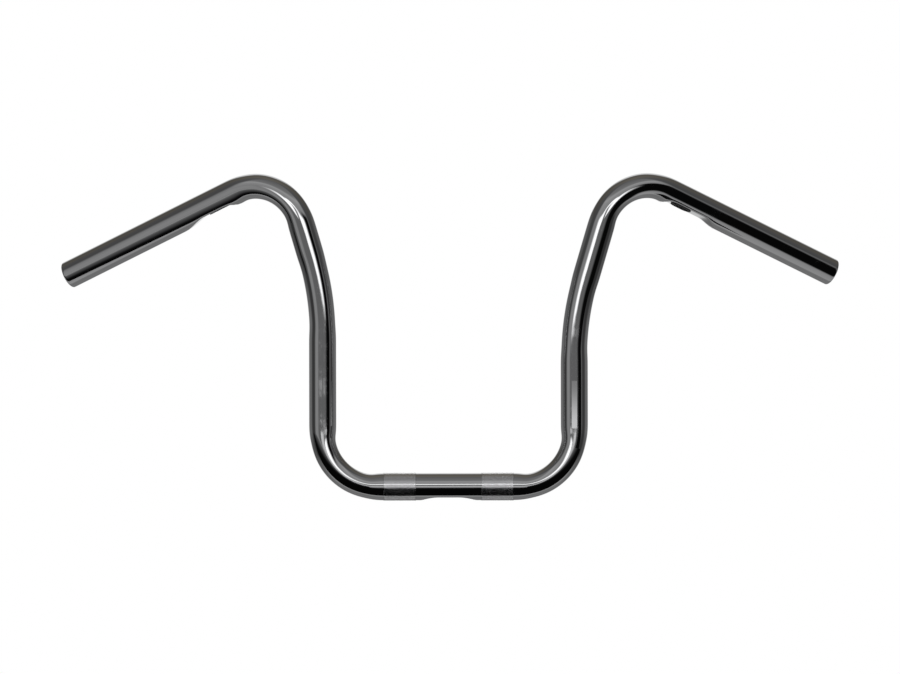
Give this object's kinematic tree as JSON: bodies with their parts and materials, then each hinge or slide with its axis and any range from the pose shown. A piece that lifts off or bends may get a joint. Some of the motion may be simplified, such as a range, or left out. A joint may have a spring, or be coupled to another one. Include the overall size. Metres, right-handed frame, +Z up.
{
  "type": "motorcycle handlebar",
  "caption": "Tall one-inch chromed steel tube handlebar, bent in one piece, with knurled clamp bands, drooping swept-back grips and recessed holes for internal wiring.",
  "frame": {"origin": "on the tube's axis, halfway between the two knurled clamp bands, where the triple clamp's risers hold the bar", "axes": "+Z is up along the risers of the bar, +Y is towards the rider, +X is the rider's left; left and right in names are the rider's"},
  "size_m": [0.7231, 0.1151, 0.3052],
  "materials": {
    "chromed_tube": "polished chrome plate over steel, with fine rolled knurl on the clamp bands",
    "black_rubber": "matt moulded rubber",
    "black_plastic": "fine-textured moulded polyethylene"
  },
  "bodies": {
    "root": {"bar_tube": "chromed_tube", "left_wire_grommet": "black_rubber", "right_wire_grommet": "black_rubber", "left_end_plug": "black_plastic", "right_end_plug": "black_plastic"}
  },
  "joints": []
}
